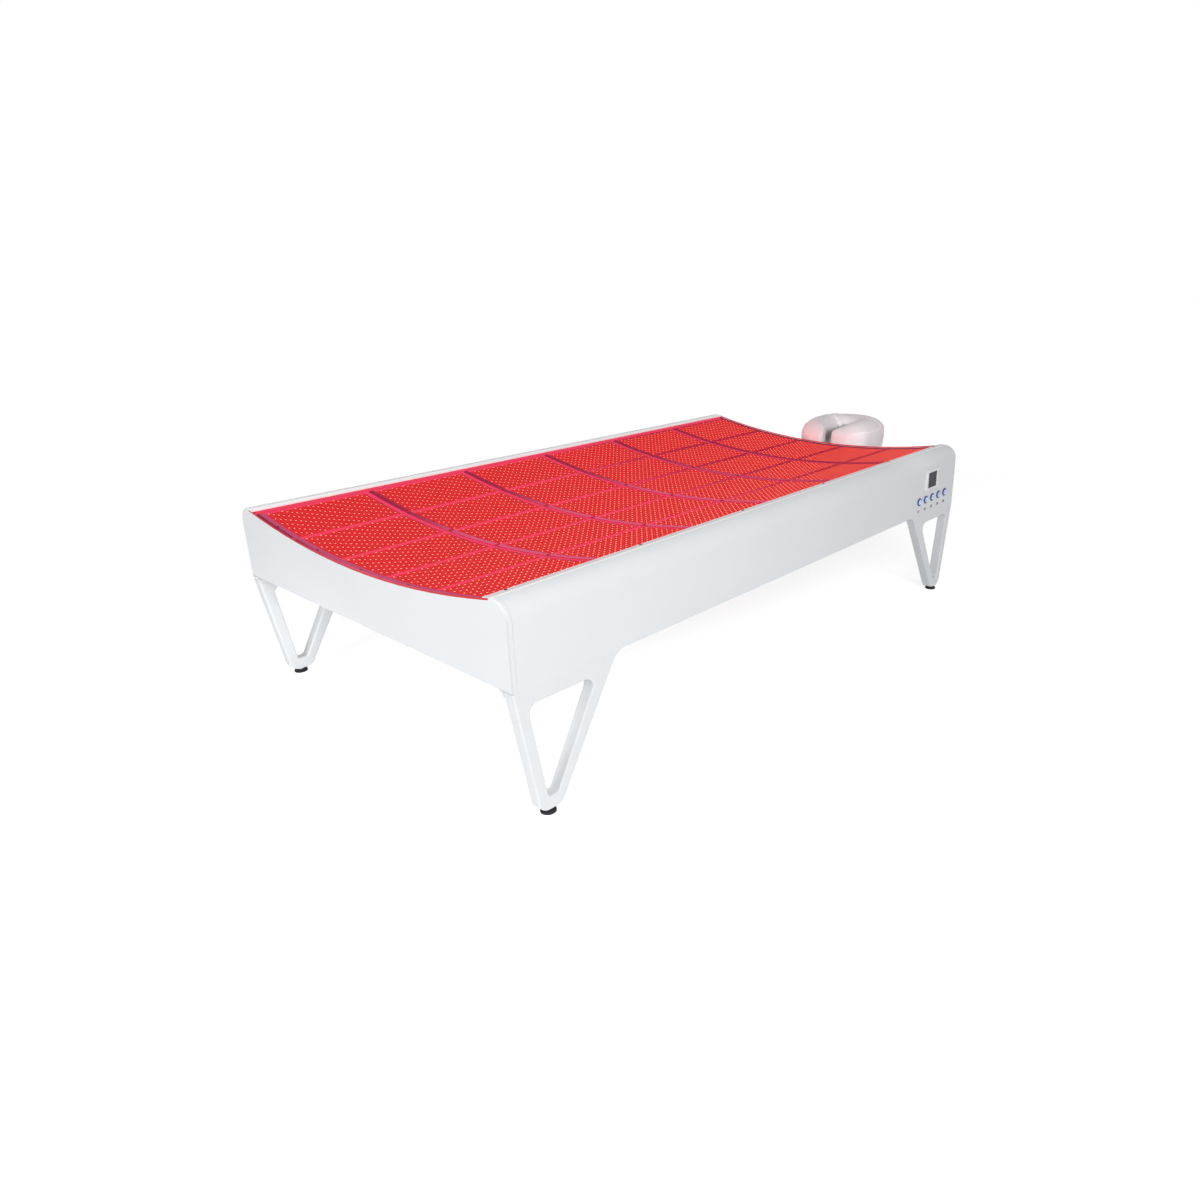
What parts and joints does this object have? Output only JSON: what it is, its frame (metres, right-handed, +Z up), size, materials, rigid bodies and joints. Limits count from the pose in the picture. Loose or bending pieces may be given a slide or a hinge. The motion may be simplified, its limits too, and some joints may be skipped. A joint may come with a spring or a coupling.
{
  "type": "red light therapy bed",
  "caption": "Long white salon bed with a hollow deck of red diode boards under a clear cover, triangle legs, push buttons with a display, and a padded face rest.",
  "frame": {"origin": "on the floor, under the middle of the whole object, face rest included", "axes": "+X towards the head end with the face rest, +Y away from the side with the controls, +Z up"},
  "size_m": [2.2851, 1.125, 0.5229],
  "materials": {
    "white_coat": "satin powder coat",
    "leg_coat": "satin powder coat",
    "pan_coat": "matt powder coat",
    "frame_metal": "mill finish",
    "deck_metal": "red painted sheet",
    "board_red": "printed board with lit diodes",
    "bar_violet": "anodised",
    "clear_sheet": "clear polished sheet",
    "strip_white": "satin trim",
    "steel": "bright zinc",
    "black_steel": "blackened",
    "black_plastic": "moulded",
    "bezel_white": "moulded",
    "screen": "dark display glass",
    "button_blue": "lit push button",
    "ring_dark": "moulded ring",
    "supply_case": "perforated case",
    "circuit_green": "printed board",
    "foot_rubber": "moulded pad",
    "plate_wood": "painted board",
    "cushion_white": "soft leatherette over foam"
  },
  "bodies": {
    "bed": {"near_side_panel": "white_coat", "far_side_panel": "white_coat", "foot_end_panel": "white_coat", "head_end_panel": "white_coat", "leg_foot_near": "leg_coat", "leg_foot_far": "leg_coat", "leg_head_near": "leg_coat", "leg_head_far": "leg_coat", "base_pan": "pan_coat", "near_rail": "frame_metal", "far_rail": "frame_metal", "deck_ribs": "frame_metal", "deck_sheet": "deck_metal", "led_boards_row_1": "board_red", "led_boards_row_2": "board_red", "led_boards_row_3": "board_red", "led_boards_row_4": "board_red", "led_boards_row_5": "board_red", "led_boards_row_6": "board_red", "board_end_bars": "bar_violet", "board_screws": "black_steel", "rim_screws": "black_steel", "clear_cover": "clear_sheet", "near_rim_strip": "strip_white", "far_rim_strip": "strip_white", "leg_bolts": "steel", "foot_lock_nuts": "steel", "display_bezel": "bezel_white", "display_module": "screen", "button_rings": "ring_dark", "switch_blocks": "black_plastic", "mains_inlet": "black_plastic", "rod_bushes": "black_plastic", "bush_nuts": "black_plastic", "button_board": "circuit_green", "control_board": "circuit_green", "power_supply_1": "supply_case", "power_supply_2": "supply_case", "power_supply_3": "supply_case"},
    "button_1": {"button_1": "button_blue"},
    "button_2": {"button_2": "button_blue"},
    "button_3": {"button_3": "button_blue"},
    "button_4": {"button_4": "button_blue"},
    "button_5": {"button_5": "button_blue"},
    "rocker": {"rocker_switch": "black_plastic"},
    "foot_foot_near": {"foot_stud_foot_near": "steel", "foot_pad_foot_near": "foot_rubber"},
    "foot_foot_far": {"foot_stud_foot_far": "steel", "foot_pad_foot_far": "foot_rubber"},
    "foot_head_near": {"foot_stud_head_near": "steel", "foot_pad_head_near": "foot_rubber"},
    "foot_head_far": {"foot_stud_head_far": "steel", "foot_pad_head_far": "foot_rubber"},
    "face_rest_slide": {"slide_rods": "steel", "crossbar": "frame_metal", "tilt_pin": "steel"},
    "face_rest": {"tilt_arms": "frame_metal", "cradle_plate": "plate_wood", "face_cushion": "cushion_white"},
    "lever": {"clamp_lever": "black_plastic"}
  },
  "joints": [
    {"name": "button_1_press", "type": "slide", "parent": "bed", "child": "button_1", "axis": [0, 1, 0], "range_m": [0, 0.003], "stiffness_N_per_m": 600},
    {"name": "button_2_press", "type": "slide", "parent": "bed", "child": "button_2", "axis": [0, 1, 0], "range_m": [0, 0.003], "stiffness_N_per_m": 600},
    {"name": "button_3_press", "type": "slide", "parent": "bed", "child": "button_3", "axis": [0, 1, 0], "range_m": [0, 0.003], "stiffness_N_per_m": 600},
    {"name": "button_4_press", "type": "slide", "parent": "bed", "child": "button_4", "axis": [0, 1, 0], "range_m": [0, 0.003], "stiffness_N_per_m": 600},
    {"name": "button_5_press", "type": "slide", "parent": "bed", "child": "button_5", "axis": [0, 1, 0], "range_m": [0, 0.003], "stiffness_N_per_m": 600},
    {"name": "rocker_tilt", "type": "hinge", "parent": "bed", "child": "rocker", "pos_m": [0.8115, 0.353, 0.362], "axis": [0, 1, 0], "range_deg": [-18, 0]},
    {"name": "foot_foot_near_height", "type": "slide", "parent": "bed", "child": "foot_foot_near", "axis": [0, 0, -1], "range_m": [0, 0.015]},
    {"name": "foot_foot_far_height", "type": "slide", "parent": "bed", "child": "foot_foot_far", "axis": [0, 0, -1], "range_m": [0, 0.015]},
    {"name": "foot_head_near_height", "type": "slide", "parent": "bed", "child": "foot_head_near", "axis": [0, 0, -1], "range_m": [0, 0.015]},
    {"name": "foot_head_far_height", "type": "slide", "parent": "bed", "child": "foot_head_far", "axis": [0, 0, -1], "range_m": [0, 0.015]},
    {"name": "face_rest_reach", "type": "slide", "parent": "bed", "child": "face_rest_slide", "axis": [1, 0, 0], "range_m": [0, 0.06]},
    {"name": "face_rest_tilt", "type": "hinge", "parent": "face_rest_slide", "child": "face_rest", "pos_m": [0.8245, 0.003, 0.4095], "axis": [0, 1, 0], "range_deg": [-20, 25]},
    {"name": "lever_clamp", "type": "hinge", "parent": "face_rest", "child": "lever", "pos_m": [0.8245, 0.003, 0.4095], "axis": [0, 1, 0], "range_deg": [0, 90]}
  ]
}
